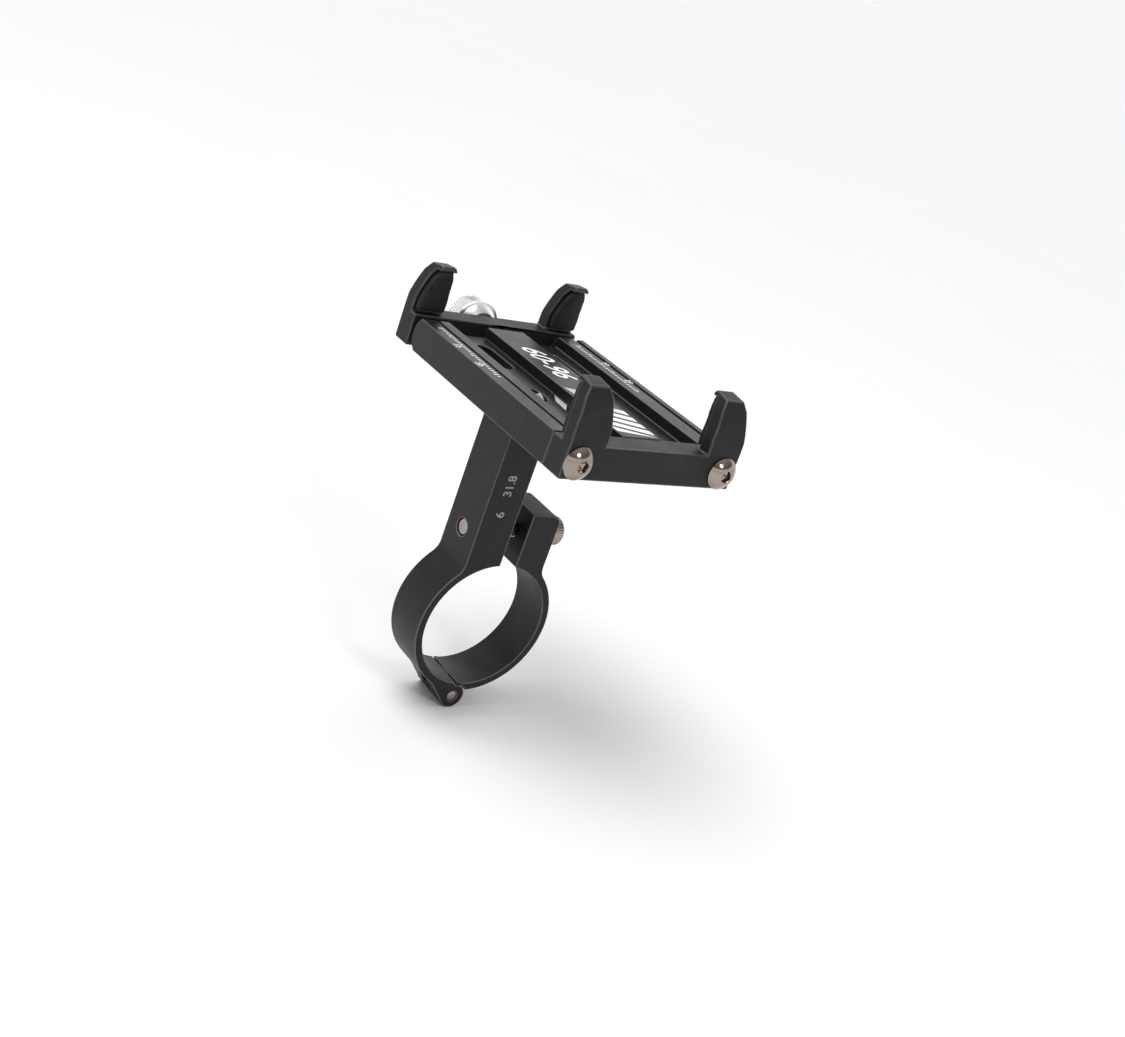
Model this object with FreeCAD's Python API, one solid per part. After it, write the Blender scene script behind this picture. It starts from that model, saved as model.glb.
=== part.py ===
import FreeCAD, Part
import math
import os

# Handlebar phone mount, in millimetres.
# Origin: centre of the handlebar bore. +Y runs along the handlebar, +Z up the riser,
# +X is the face of the riser that looks away from the rider.

Vec = FreeCAD.Vector

# Handlebar clamp
bar_diameter = 31.8
bar_radius = bar_diameter / 2
clamp_width = 11.8
half_width = clamp_width / 2
ring_wall = 2.0
ring_outer_radius = bar_radius + ring_wall
riser_front_x = 10.9
riser_back_x = 1.4
ear_front_x = -3.1
ear_back_x = -11.2
ear_height_over_bar = 13.3
ear_top_z = bar_radius + ear_height_over_bar
ear_corner_radius = 2.2
blend_radius = 4.0

# Clamp hinge, under the bar
hinge_x = 1.8
hinge_drop_under_bar = 3.5
hinge_z = -(bar_radius + hinge_drop_under_bar)
knuckle_radius = 3.1
knuckle_gap = 0.15
knuckle_swing_clearance = 0.25
hinge_pin_radius = 1.25
split_gap = 0.4
web_reach = 7.2

# Clamp screw and washer
clamp_screw_height_over_bar = 6.7
clamp_screw_z = bar_radius + clamp_screw_height_over_bar
clamp_screw_radius = 2.0
clamp_screw_tip_recess = 0.4
clamp_screw_tip_chamfer = 0.4
clamp_thread_clearance = 0.05
ear_hole_clearance = 0.3
ear_hole_radius = clamp_screw_radius + ear_hole_clearance
ear_slot_rise = 0.6
cap_head_radius = 3.5
cap_head_height = 4.0
cap_head_chamfer = 0.3
cap_socket_across = 3.0
cap_socket_depth = 2.2
clamp_washer_radius = 4.0
clamp_washer_thickness = 0.8
washer_seat_gap = 0.05

# Tray turning joint on top of the riser
tray_height_over_bar = 34.8
tray_bottom_z = bar_radius + tray_height_over_bar
pivot_x = 4.4
pivot_y = 0.0
riser_top_gap = 0.3
riser_top_z = tray_bottom_z - riser_top_gap
pivot_screw_radius = 2.0
pivot_screw_depth = 11.0
pivot_tap_room = 1.0
pivot_hole_clearance = 0.1
turn_washer_radius = 2.85
turn_washer_bore = pivot_screw_radius + pivot_hole_clearance
turn_washer_thickness = 0.6
pivot_head_radius = 3.5
pivot_head_height = 2.2
pivot_recess_clearance = 0.15
pivot_recess_radius = pivot_head_radius + pivot_recess_clearance
pivot_recess_depth = 1.6
wave_washer_thickness = 0.8
pivot_socket_across = 2.5
pivot_socket_depth = 1.3

# Tray
tray_width = 47.5
tray_length = 57.15
tray_thickness = 7.9
floor_thickness = 5.3
rail_width = 7.6
rail_to_recess = 0.05
spine_width = 10.5
end_bulge = 2.0
rail_groove_depth = 0.8
front_groove_width = 1.0
front_groove_inset = 3.9
rear_groove_width = 1.5
rear_groove_inset = 1.6
slot_to_spine = 2.4
slot_half_width = 2.2
slot_length = 13.5
slot_end_margin = 5.2
tray_far_y = -32.7
tray_near_y = tray_far_y + tray_length
tray_top_z = tray_bottom_z + tray_thickness
floor_top_z = tray_bottom_z + floor_thickness
tray_front_x = pivot_x + pivot_recess_radius + rail_to_recess + rail_width
tray_rear_x = tray_front_x - tray_width
tray_center_x = (tray_front_x + tray_rear_x) / 2
spine_front_x = tray_center_x + spine_width / 2
spine_rear_x = tray_center_x - spine_width / 2
slot_offset = spine_width / 2 + slot_to_spine + slot_half_width
slot_far_y = tray_far_y + slot_end_margin
slot_near_y = slot_far_y + slot_length

# Guide rods
rod_inset = 3.65
rod_height = 3.8
rod_z = tray_bottom_z + rod_height
rod_radius = 2.0
rod_clearance = 0.05
rod_end_margin = 15.45
rod_end_room = 4.0
rod_end_y = tray_near_y - rod_end_margin
rod_bore_end_y = rod_end_y + rod_end_room

# Jaws
fixed_jaw_thickness = 6.35
moving_jaw_thickness = 5.6
moving_jaw_gap = 1.3
jaw_drop = 0.2
jaw_overhang = 0.1
fixed_claw_width = 9.6
moving_claw_width = 8.6
jaw_top_z = tray_top_z - jaw_drop
jaw_bottom_z = tray_bottom_z - jaw_overhang
fixed_jaw_outer_y = tray_near_y + fixed_jaw_thickness
moving_jaw_near_y = tray_far_y - end_bulge - moving_jaw_gap
moving_jaw_outer_y = moving_jaw_near_y - moving_jaw_thickness

# Claw profile: two arcs that lean over the phone, with a lip at the top
claw_root_rise = 0.4
claw_height = 12.2
claw_root_thickness = 3.4
claw_outer_radius = 26.0
claw_inner_radius = 27.0
claw_top_fall = 0.6
lip_thickness = 1.3
lip_reach = 1.7
lip_edge_chamfer = 0.5
claw_taper = 1.1
claw_taper_rise = 3.0
claw_shoulder_drop = 2.8
claw_top_narrowing = 1.45
claw_root_z = tray_top_z + claw_root_rise
claw_top_z = claw_root_z + claw_height
lip_bottom_z = claw_top_z - lip_thickness
claw_taper_start_z = claw_root_z + claw_taper_rise
claw_shoulder_z = claw_top_z - claw_shoulder_drop

# Rubber pads
pad_thickness = 1.7
pad_side_inset = 0.7
pad_bottom_gap = 0.3
pad_top_gap = 0.1

# Fixed jaw screws
jaw_screw_radius = 2.0
jaw_screw_depth = 8.45
jaw_screw_end_y = tray_near_y - jaw_screw_depth
jaw_hole_clearance = 0.2
jaw_hole_radius = jaw_screw_radius + jaw_hole_clearance
button_head_radius = 3.8
button_head_height = 2.3
button_rim_share = 0.15
button_socket_across = 2.5
button_socket_depth = 1.4

# Lead screw, nut and knob
lead_z = (tray_bottom_z + tray_top_z) / 2
lead_screw_radius = 2.5
lead_screw_end_margin = 6.45
lead_screw_end_y = tray_near_y - lead_screw_end_margin
lead_bore_clearance = 0.25
lead_bore_radius = lead_screw_radius + lead_bore_clearance
lead_bore_tail = 3.0
lead_thread_clearance = 0.05
nut_wall = 0.7
nut_radius = lead_screw_radius + nut_wall
nut_length = 8.0
knob_radius = 6.2
knob_thickness = 4.6
knob_chamfer = 0.5
knob_grip_flutes = 48
knob_flute_radius = 0.35
knob_flute_depth = 0.22
knob_boss_length = 2.1
knob_boss_root_radius = 5.4
knob_boss_end_radius = 4.0
hub_wall = 0.9
hub_radius = lead_screw_radius + hub_wall
hub_length = 1.2
hub_seat_gap = 0.05
knob_boss_end_y = moving_jaw_outer_y - hub_length
knob_near_y = knob_boss_end_y - knob_boss_length
knob_far_y = knob_near_y - knob_thickness
clip_groove_depth = 0.4
clip_groove_radius = lead_screw_radius - clip_groove_depth
clip_pocket_wall = 0.9
clip_pocket_radius = lead_screw_radius + clip_pocket_wall
clip_clearance = 0.3
clip_thickness = 0.7
clip_pocket_depth = 1.0
clip_mouth_share = 0.8
grub_screw_radius = 1.0
grub_screw_sink = 0.2
grub_socket_across = 0.9
grub_socket_depth = 1.0

# How far a cutting tool runs past the face that it cuts
overrun = 1.0


def save(name, shape):
    shape.exportStep("parts/" + name + ".step")
    print(name, "solids", len(shape.Solids), "volume", round(shape.Volume, 2))


def box(x0, x1, y0, y1, z0, z1):
    return Part.makeBox(x1 - x0, y1 - y0, z1 - z0, Vec(x0, y0, z0))


def rod_x(radius, x0, x1, y, z):
    return Part.makeCylinder(radius, x1 - x0, Vec(x0, y, z), Vec(1, 0, 0))


def rod_y(radius, y0, y1, x, z):
    return Part.makeCylinder(radius, y1 - y0, Vec(x, y0, z), Vec(0, 1, 0))


def rod_z_axis(radius, z0, z1, x, y):
    return Part.makeCylinder(radius, z1 - z0, Vec(x, y, z0), Vec(0, 0, 1))


def line(a, b):
    return Part.LineSegment(a, b).toShape()


def arc(a, middle, b):
    return Part.Arc(a, middle, b).toShape()


def on_circle(radius, degrees, y, center=(0.0, 0.0)):
    turn = math.radians(degrees)
    return Vec(center[0] + radius * math.cos(turn), y, center[1] + radius * math.sin(turn))


def angle_at_x(radius, x, upper):
    degrees = math.degrees(math.acos(x / radius))
    return degrees if upper else -degrees


def solid_along_y(edges, length):
    return Part.Face(Part.Wire(edges)).extrude(Vec(0, length, 0))


def hex_prism(across, height, base, axis):
    # A hexagonal bar that starts at base and runs along axis.
    radius = across / math.sqrt(3)
    corners = [Vec(radius * math.cos(math.radians(60 * i)), radius * math.sin(math.radians(60 * i)), 0)
               for i in range(7)]
    prism = Part.Face(Part.makePolygon(corners)).extrude(Vec(0, 0, height))
    prism.Placement = FreeCAD.Placement(base, FreeCAD.Rotation(Vec(0, 0, 1), axis))
    return prism


def button_head(radius, height, across, depth, base, axis):
    # A domed screw head: a spherical cap on a short rim, with a hexagon socket.
    rim = height * button_rim_share
    dome = height - rim
    sphere_radius = (radius * radius + dome * dome) / (2 * dome)
    ball = Part.makeSphere(sphere_radius, Vec(0, 0, height - sphere_radius))
    head = Part.makeCylinder(radius, height).common(ball)
    head.Placement = FreeCAD.Placement(base, FreeCAD.Rotation(Vec(0, 0, 1), axis))
    socket_base = base + axis * (height - depth)
    return head.cut(hex_prism(across, depth + overrun, socket_base, axis))


def blend_points(face_x):
    # Concave arc between a vertical face at face_x and the outside of the ring.
    side = 1 if face_x > 0 else -1
    reach = ring_outer_radius + blend_radius
    center_x = face_x + side * blend_radius
    center_z = math.sqrt(reach ** 2 - center_x ** 2)
    on_face = Vec(face_x, -half_width, center_z)
    on_ring = Vec(center_x, -half_width, center_z) * (ring_outer_radius / reach)
    on_ring.y = -half_width
    toward = Vec(-center_x, 0, -center_z).normalize() + Vec(-side, 0, 0)
    middle = Vec(center_x, -half_width, center_z) + toward.normalize() * blend_radius
    return on_face, middle, on_ring


def knuckle_band(index):
    # The hinge has three knuckles side by side along Y: 0 far, 1 middle, 2 near.
    third = clamp_width / 3
    start = -half_width + index * third
    return start, start + third


def hinge_web(side, y0, y1):
    # Joins a knuckle to the outside of the ring half on its own side.
    foot_x = hinge_x + side * web_reach
    foot_z = -math.sqrt(ring_outer_radius ** 2 - foot_x ** 2)
    low = on_circle(knuckle_radius, -90 + side * 35, y0, (hinge_x, hinge_z))
    inner_z = -(bar_radius + ring_wall / 2)
    corners = [Vec(foot_x, y0, foot_z),
               low,
               Vec(hinge_x, y0, hinge_z),
               Vec(hinge_x + side * split_gap / 2, y0, inner_z),
               Vec(foot_x - side * ring_wall / 2, y0, foot_z + ring_wall / 2)]
    return Part.Face(Part.makePolygon(corners + corners[:1])).extrude(Vec(0, y1 - y0, 0))


def make_riser():
    split_x = hinge_x + split_gap / 2
    inner_top = angle_at_x(bar_radius, riser_back_x, True)
    inner_low = angle_at_x(bar_radius, split_x, False)
    outer_low = angle_at_x(ring_outer_radius, split_x, False)
    on_face, middle, on_ring = blend_points(riser_front_x)
    ring_start = math.degrees(math.atan2(on_ring.z, on_ring.x))
    y = -half_width
    edges = [
        line(on_circle(bar_radius, inner_top, y), Vec(riser_back_x, y, riser_top_z)),
        line(Vec(riser_back_x, y, riser_top_z), Vec(riser_front_x, y, riser_top_z)),
        line(Vec(riser_front_x, y, riser_top_z), on_face),
        arc(on_face, middle, on_ring),
        arc(on_ring, on_circle(ring_outer_radius, (ring_start + outer_low) / 2, y),
            on_circle(ring_outer_radius, outer_low, y)),
        line(on_circle(ring_outer_radius, outer_low, y), on_circle(bar_radius, inner_low, y)),
        arc(on_circle(bar_radius, inner_low, y), on_circle(bar_radius, 0, y),
            on_circle(bar_radius, inner_top, y)),
    ]
    body = solid_along_y(edges, clamp_width)
    middle_start, middle_end = knuckle_band(1)
    for index in (0, 2):
        start, end = knuckle_band(index)
        body = body.fuse(rod_y(knuckle_radius, start, end, hinge_x, hinge_z))
        body = body.fuse(hinge_web(1, start, end))
    swing = knuckle_radius + knuckle_swing_clearance
    body = body.cut(rod_y(swing, middle_start, middle_end, hinge_x, hinge_z))
    body = body.cut(rod_y(bar_radius, -half_width, half_width, 0, 0))
    body = body.cut(rod_y(hinge_pin_radius, -half_width, half_width, hinge_x, hinge_z))
    thread_radius = clamp_screw_radius + clamp_thread_clearance
    body = body.cut(rod_x(thread_radius, riser_back_x - overrun, riser_front_x + overrun, 0, clamp_screw_z))
    seat = turn_washer_thickness - riser_top_gap
    body = body.cut(rod_z_axis(turn_washer_radius, riser_top_z - seat, riser_top_z + overrun, pivot_x, pivot_y))
    tap_bottom = tray_bottom_z - pivot_screw_depth - pivot_tap_room
    body = body.cut(rod_z_axis(pivot_screw_radius, tap_bottom, riser_top_z, pivot_x, pivot_y))
    return body.removeSplitter()


def ear_slot():
    # The ear's hole runs a little upwards, because the ear drops as it swings open.
    x0 = ear_back_x - overrun
    x1 = ear_front_x + overrun
    slot_top_z = clamp_screw_z + ear_slot_rise
    low = rod_x(ear_hole_radius, x0, x1, 0, clamp_screw_z)
    high = rod_x(ear_hole_radius, x0, x1, 0, slot_top_z)
    middle = box(x0, x1, -ear_hole_radius, ear_hole_radius, clamp_screw_z, slot_top_z)
    return low.fuse(high).fuse(middle)


def make_clamp_rear_half():
    split_x = hinge_x - split_gap / 2
    inner_top = angle_at_x(bar_radius, ear_front_x, True)
    inner_low = angle_at_x(bar_radius, split_x, False) + 360
    outer_low = angle_at_x(ring_outer_radius, split_x, False) + 360
    on_face, middle, on_ring = blend_points(ear_back_x)
    ring_start = math.degrees(math.atan2(on_ring.z, on_ring.x))
    y = -half_width
    corner_x = ear_back_x + ear_corner_radius
    corner_z = ear_top_z - ear_corner_radius
    edges = [
        line(on_circle(bar_radius, inner_top, y), Vec(ear_front_x, y, ear_top_z)),
        line(Vec(ear_front_x, y, ear_top_z), Vec(corner_x, y, ear_top_z)),
        arc(Vec(corner_x, y, ear_top_z),
            on_circle(ear_corner_radius, 135, y, (corner_x, corner_z)),
            Vec(ear_back_x, y, corner_z)),
        line(Vec(ear_back_x, y, corner_z), on_face),
        arc(on_face, middle, on_ring),
        arc(on_ring, on_circle(ring_outer_radius, (ring_start + outer_low) / 2, y),
            on_circle(ring_outer_radius, outer_low, y)),
        line(on_circle(ring_outer_radius, outer_low, y), on_circle(bar_radius, inner_low, y)),
        arc(on_circle(bar_radius, inner_low, y), on_circle(bar_radius, 180, y),
            on_circle(bar_radius, inner_top, y)),
    ]
    body = solid_along_y(edges, clamp_width)
    start, end = knuckle_band(1)
    knuckle = rod_y(knuckle_radius, start + knuckle_gap, end - knuckle_gap, hinge_x, hinge_z)
    body = body.fuse(knuckle).fuse(hinge_web(-1, start + knuckle_gap, end - knuckle_gap))
    swing = knuckle_radius + knuckle_swing_clearance
    for index in (0, 2):
        start, end = knuckle_band(index)
        body = body.cut(rod_y(swing, start - knuckle_gap, end + knuckle_gap, hinge_x, hinge_z))
    body = body.cut(rod_y(bar_radius, -half_width, half_width, 0, 0))
    bore = hinge_pin_radius + clamp_thread_clearance
    body = body.cut(rod_y(bore, -half_width, half_width, hinge_x, hinge_z))
    body = body.cut(ear_slot())
    return body.removeSplitter()


def make_hinge_pin():
    return rod_y(hinge_pin_radius, -half_width, half_width, hinge_x, hinge_z)


def make_clamp_washer():
    near_x = ear_back_x - washer_seat_gap
    washer = rod_x(clamp_washer_radius, near_x - clamp_washer_thickness, near_x, 0, clamp_screw_z)
    hole = clamp_screw_radius + clamp_thread_clearance
    return washer.cut(rod_x(hole, near_x - clamp_washer_thickness - overrun, near_x + overrun, 0, clamp_screw_z))


def make_clamp_screw():
    seat_x = ear_back_x - washer_seat_gap - clamp_washer_thickness
    tip_x = riser_front_x - clamp_screw_tip_recess
    shank = rod_x(clamp_screw_radius, seat_x, tip_x, 0, clamp_screw_z)
    head = rod_x(cap_head_radius, seat_x - cap_head_height, seat_x, 0, clamp_screw_z)
    rim = [edge for edge in head.Edges if edge.CenterOfMass.x < seat_x - cap_head_height + 0.01]
    head = head.makeChamfer(cap_head_chamfer, rim)
    end = [edge for edge in shank.Edges if edge.CenterOfMass.x > tip_x - 0.01]
    shank = shank.makeChamfer(clamp_screw_tip_chamfer, end)
    socket_base = Vec(seat_x - cap_head_height - overrun, 0, clamp_screw_z)
    socket = hex_prism(cap_socket_across, cap_socket_depth + overrun, socket_base, Vec(1, 0, 0))
    return shank.fuse(head).cut(socket).removeSplitter()


def make_turn_washer():
    washer = rod_z_axis(turn_washer_radius, tray_bottom_z - turn_washer_thickness, tray_bottom_z,
                        pivot_x, pivot_y)
    return washer.cut(rod_z_axis(turn_washer_bore, tray_bottom_z - turn_washer_thickness - overrun,
                                 tray_bottom_z + overrun, pivot_x, pivot_y))


def pivot_seat_z():
    return floor_top_z - pivot_recess_depth + wave_washer_thickness


def make_wave_washer():
    base_z = floor_top_z - pivot_recess_depth
    washer = rod_z_axis(pivot_head_radius, base_z, base_z + wave_washer_thickness, pivot_x, pivot_y)
    bore = pivot_screw_radius + pivot_hole_clearance
    return washer.cut(rod_z_axis(bore, base_z - overrun, base_z + wave_washer_thickness + overrun,
                                 pivot_x, pivot_y))


def make_pivot_screw():
    seat_z = pivot_seat_z()
    shank = rod_z_axis(pivot_screw_radius, tray_bottom_z - pivot_screw_depth, seat_z, pivot_x, pivot_y)
    head = button_head(pivot_head_radius, pivot_head_height, pivot_socket_across, pivot_socket_depth,
                       Vec(pivot_x, pivot_y, seat_z), Vec(0, 0, 1))
    return shank.fuse(head).removeSplitter()


def end_cap_profile(y0):
    # Side view of the tray's far end: the end face bulges out at half height.
    top = Vec(tray_rear_x, y0, tray_top_z)
    low = Vec(tray_rear_x, y0, tray_bottom_z)
    bulge = Vec(tray_rear_x, y0 - end_bulge, (tray_bottom_z + tray_top_z) / 2)
    near_top = Vec(tray_rear_x, tray_near_y, tray_top_z)
    near_low = Vec(tray_rear_x, tray_near_y, tray_bottom_z)
    return [arc(low, bulge, top), line(top, near_top), line(near_top, near_low), line(near_low, low)]


def floor_slot(side):
    x = tray_center_x + side * slot_offset
    radius = slot_half_width
    z0 = tray_bottom_z - overrun
    z1 = tray_top_z
    far_end = rod_z_axis(radius, z0, z1, x, slot_far_y + radius)
    near_end = rod_z_axis(radius, z0, z1, x, slot_near_y - radius)
    middle = box(x - radius, x + radius, slot_far_y + radius, slot_near_y - radius, z0, z1)
    return far_end.fuse(near_end).fuse(middle)


def rod_centers():
    return [tray_front_x - rod_inset, tray_rear_x + rod_inset]


def make_tray():
    body = Part.Face(Part.Wire(end_cap_profile(tray_far_y))).extrude(Vec(tray_width, 0, 0))
    y0 = tray_far_y - end_bulge - overrun
    y1 = tray_near_y + overrun
    above = tray_top_z + overrun
    core = box(tray_rear_x + rail_width, tray_front_x - rail_width, y0, tray_far_y,
               tray_bottom_z - overrun, above)
    body = body.cut(core)
    body = body.cut(box(spine_front_x, tray_front_x - rail_width, y0, y1, floor_top_z, above))
    body = body.cut(box(tray_rear_x + rail_width, spine_rear_x, y0, y1, floor_top_z, above))
    groove_z = tray_top_z - rail_groove_depth
    front_groove = tray_front_x - front_groove_inset - front_groove_width
    rear_groove = tray_rear_x + rear_groove_inset
    body = body.cut(box(front_groove, front_groove + front_groove_width, y0, y1, groove_z, above))
    body = body.cut(box(rear_groove, rear_groove + rear_groove_width, y0, y1, groove_z, above))
    for side in (1, -1):
        body = body.cut(floor_slot(side))
    for x in rod_centers():
        body = body.cut(rod_y(rod_radius + rod_clearance, y0, rod_bore_end_y, x, rod_z))
        body = body.cut(rod_y(jaw_screw_radius, rod_bore_end_y - overrun, y1, x, rod_z))
    body = body.cut(rod_y(nut_radius, tray_far_y - overrun, tray_far_y + nut_length, tray_center_x, lead_z))
    body = body.cut(rod_y(lead_bore_radius, tray_far_y, lead_screw_end_y + lead_bore_tail,
                          tray_center_x, lead_z))
    recess_z = floor_top_z - pivot_recess_depth
    body = body.cut(rod_z_axis(pivot_recess_radius, recess_z, tray_top_z, pivot_x, pivot_y))
    bore = pivot_screw_radius + pivot_hole_clearance
    body = body.cut(rod_z_axis(bore, tray_bottom_z - overrun, recess_z, pivot_x, pivot_y))
    return body.removeSplitter()


def make_lead_nut():
    nut = rod_y(nut_radius, tray_far_y, tray_far_y + nut_length, tray_center_x, lead_z)
    bore = lead_screw_radius + lead_thread_clearance
    return nut.cut(rod_y(bore, tray_far_y - overrun, tray_far_y + nut_length + overrun,
                         tray_center_x, lead_z))


def make_lead_screw():
    screw = rod_y(lead_screw_radius, knob_far_y, lead_screw_end_y, tray_center_x, lead_z)
    groove_y = moving_jaw_near_y - clip_pocket_depth
    groove_end_y = groove_y + clip_thickness
    groove = rod_y(lead_screw_radius + overrun, groove_y, groove_end_y, tray_center_x, lead_z)
    groove = groove.cut(rod_y(clip_groove_radius, groove_y - overrun, groove_end_y + overrun,
                              tray_center_x, lead_z))
    return screw.cut(groove)


def make_screw_clip():
    groove_y = moving_jaw_near_y - clip_pocket_depth
    clip_end_y = groove_y + clip_thickness
    clip = rod_y(clip_pocket_radius - clip_clearance, groove_y, clip_end_y, tray_center_x, lead_z)
    clip = clip.cut(rod_y(clip_groove_radius, groove_y - overrun, clip_end_y + overrun,
                          tray_center_x, lead_z))
    mouth_half = clip_groove_radius * clip_mouth_share
    mouth = box(tray_center_x - mouth_half, tray_center_x + mouth_half,
                groove_y - overrun, clip_end_y + overrun, lead_z - clip_pocket_radius, lead_z)
    return clip.cut(mouth)


def make_knob_hub():
    hub = rod_y(hub_radius, knob_boss_end_y, moving_jaw_outer_y - hub_seat_gap, tray_center_x, lead_z)
    return hub.cut(rod_y(lead_screw_radius, knob_boss_end_y - overrun, moving_jaw_outer_y + overrun,
                         tray_center_x, lead_z))


def make_knob():
    knob = rod_y(knob_radius, knob_far_y, knob_near_y, tray_center_x, lead_z)
    rims = [edge for edge in knob.Edges if len(edge.Vertexes) == 1]
    knob = knob.makeChamfer(knob_chamfer, rims)
    y0 = knob_far_y - overrun
    y1 = knob_near_y + overrun
    flute_circle = knob_radius + knob_flute_radius - knob_flute_depth
    flutes = []
    for i in range(knob_grip_flutes):
        turn = 2 * math.pi * i / knob_grip_flutes
        x = tray_center_x + flute_circle * math.cos(turn)
        z = lead_z + flute_circle * math.sin(turn)
        flutes.append(rod_y(knob_flute_radius, y0, y1, x, z))
    knob = knob.cut(Part.makeCompound(flutes))
    boss = Part.makeCone(knob_boss_root_radius, knob_boss_end_radius, knob_boss_length,
                         Vec(tray_center_x, knob_near_y, lead_z), Vec(0, 1, 0))
    knob = knob.fuse(boss)
    knob = knob.cut(rod_y(lead_screw_radius, y0, knob_boss_end_y + overrun, tray_center_x, lead_z))
    grub_y = (knob_far_y + knob_near_y) / 2
    hole = rod_z_axis(grub_screw_radius, lead_z - knob_radius - overrun, lead_z, tray_center_x, grub_y)
    return knob.cut(hole)


def make_knob_grub_screw():
    # Screwed in from under the knob, against the lead screw.
    grub_y = (knob_far_y + knob_near_y) / 2
    top_z = lead_z - lead_screw_radius
    low_z = lead_z - knob_radius + knob_flute_depth + grub_screw_sink
    screw = rod_z_axis(grub_screw_radius, low_z, top_z, tray_center_x, grub_y)
    screw = screw.cut(rod_y(lead_screw_radius, knob_far_y, knob_near_y, tray_center_x, lead_z))
    socket_base = Vec(tray_center_x, grub_y, low_z - overrun)
    return screw.cut(hex_prism(grub_socket_across, grub_socket_depth + overrun, socket_base, Vec(0, 0, 1)))


def make_guide_rod(x):
    return rod_y(rod_radius, moving_jaw_outer_y, rod_end_y, x, rod_z)


def claw_arc_offset(radius, z):
    # How far an arc that starts upright at the claw root has leaned over at height z.
    rise = z - claw_root_z
    return radius - math.sqrt(radius ** 2 - rise ** 2)


def claw_section(outer_y, inward):
    # Side view of a claw as a wire in the YZ plane. inward is +1 or -1 along Y.
    def point(offset, z):
        return Vec(0, outer_y + inward * offset, z)

    def arc_point(radius, start, z):
        return point(start + claw_arc_offset(radius, z), z)

    root = claw_root_thickness
    outer_top_z = claw_top_z - claw_top_fall
    outer_mid_z = (claw_root_z + outer_top_z) / 2
    inner_mid_z = (claw_root_z + lip_bottom_z) / 2
    outer_top = arc_point(claw_outer_radius, 0, outer_top_z)
    inner_top = arc_point(claw_inner_radius, root, lip_bottom_z)
    lip_low = inner_top + Vec(0, inward * lip_reach, 0)
    lip_high = Vec(0, lip_low.y, claw_top_z - lip_edge_chamfer)
    lip_crest = Vec(0, lip_low.y - inward * lip_edge_chamfer, claw_top_z)
    edges = [
        line(point(0, jaw_bottom_z), point(0, claw_root_z)),
        arc(point(0, claw_root_z), arc_point(claw_outer_radius, 0, outer_mid_z), outer_top),
        line(outer_top, lip_crest),
        line(lip_crest, lip_high),
        line(lip_high, lip_low),
        line(lip_low, inner_top),
        arc(inner_top, arc_point(claw_inner_radius, root, inner_mid_z), point(root, claw_root_z)),
        line(point(root, claw_root_z), point(root, jaw_bottom_z)),
        line(point(root, jaw_bottom_z), point(0, jaw_bottom_z)),
    ]
    return Part.Wire(edges)


def tapered_outline(x0, x1, z0, inset):
    # Front view of a claw or pad: straight sides that draw in towards a narrower top.
    left = x0 + inset
    right = x1 - inset
    narrow = claw_taper + claw_top_narrowing
    corners = [Vec(left, 0, z0),
               Vec(left, 0, claw_taper_start_z),
               Vec(left + claw_taper, 0, claw_shoulder_z - inset),
               Vec(left + narrow, 0, claw_top_z - inset),
               Vec(right - narrow, 0, claw_top_z - inset),
               Vec(right - claw_taper, 0, claw_shoulder_z - inset),
               Vec(right, 0, claw_taper_start_z),
               Vec(right, 0, z0)]
    return Part.Face(Part.makePolygon(corners + corners[:1]))


def full_depth(outline, outer_y):
    # The outline run through the whole depth of a claw, to both sides of its outer face.
    reach = 2 * claw_height
    outline.translate(Vec(0, outer_y - reach, 0))
    return outline.extrude(Vec(0, 2 * reach, 0))


def make_claw(x0, x1, outer_y, inward):
    section = Part.Face(claw_section(outer_y, inward))
    section.translate(Vec(x0, 0, 0))
    band = section.extrude(Vec(x1 - x0, 0, 0))
    outline = tapered_outline(x0, x1, jaw_bottom_z, 0)
    return band.common(full_depth(outline, outer_y))


def jaw_bar(y0, y1):
    return box(tray_rear_x, tray_front_x, y0, y1, jaw_bottom_z, jaw_top_z)


def claw_spans(width):
    return [(tray_front_x - width, tray_front_x), (tray_rear_x, tray_rear_x + width)]


def make_fixed_jaw():
    jaw = jaw_bar(tray_near_y, fixed_jaw_outer_y)
    for x0, x1 in claw_spans(fixed_claw_width):
        jaw = jaw.fuse(make_claw(x0, x1, fixed_jaw_outer_y, -1))
    for x in rod_centers():
        jaw = jaw.cut(rod_y(jaw_hole_radius, tray_near_y - overrun, fixed_jaw_outer_y + overrun, x, rod_z))
    return jaw.removeSplitter()


def make_moving_jaw():
    jaw = jaw_bar(moving_jaw_outer_y, moving_jaw_near_y)
    for x0, x1 in claw_spans(moving_claw_width):
        jaw = jaw.fuse(make_claw(x0, x1, moving_jaw_outer_y, 1))
    y0 = moving_jaw_outer_y - overrun
    y1 = moving_jaw_near_y + overrun
    for x in rod_centers():
        jaw = jaw.cut(rod_y(rod_radius, y0, y1, x, rod_z))
    bore = lead_screw_radius + lead_thread_clearance
    jaw = jaw.cut(rod_y(bore, y0, y1, tray_center_x, lead_z))
    pocket_y = moving_jaw_near_y - clip_pocket_depth - hub_seat_gap
    jaw = jaw.cut(rod_y(clip_pocket_radius, pocket_y, y1, tray_center_x, lead_z))
    return jaw.removeSplitter()


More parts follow.
